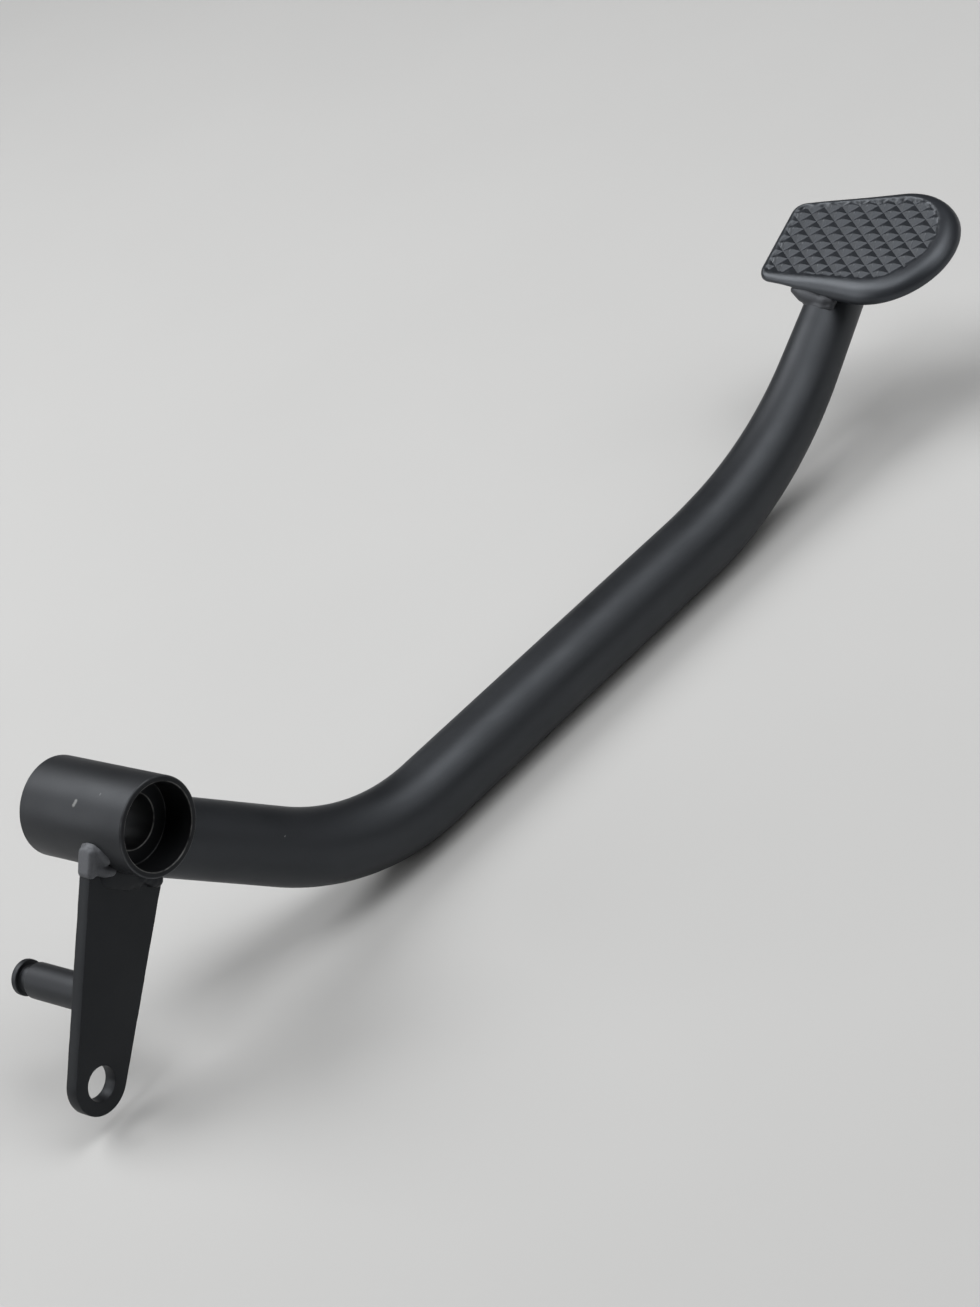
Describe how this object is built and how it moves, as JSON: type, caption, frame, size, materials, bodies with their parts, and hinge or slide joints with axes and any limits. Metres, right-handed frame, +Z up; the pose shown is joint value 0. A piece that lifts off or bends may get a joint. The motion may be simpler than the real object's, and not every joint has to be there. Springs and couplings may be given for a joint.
{
  "type": "rear brake pedal",
  "caption": "Bent tubular pedal with a pivot boss, a rod lever with a spring pin, and a knurled foot pad.",
  "frame": {"origin": "on the pivot axis, at the middle of the boss's length", "axes": "+Y along the pivot axis to the inboard side, +X forward toward the foot pad and along the level middle stretch of the arm in side view, +Z up"},
  "size_m": [0.3857, 0.1059, 0.0803],
  "materials": {
    "black_coat": "satin",
    "pad_coat": "satin",
    "bead_coat": "satin"
  },
  "bodies": {
    "root": {"pivot_boss": "black_coat", "arm_tube": "black_coat", "lever_plate": "black_coat", "lever_pin": "black_coat", "foot_pad": "pad_coat", "arm_weld": "bead_coat", "lever_weld": "bead_coat", "pad_weld": "bead_coat"}
  },
  "joints": []
}
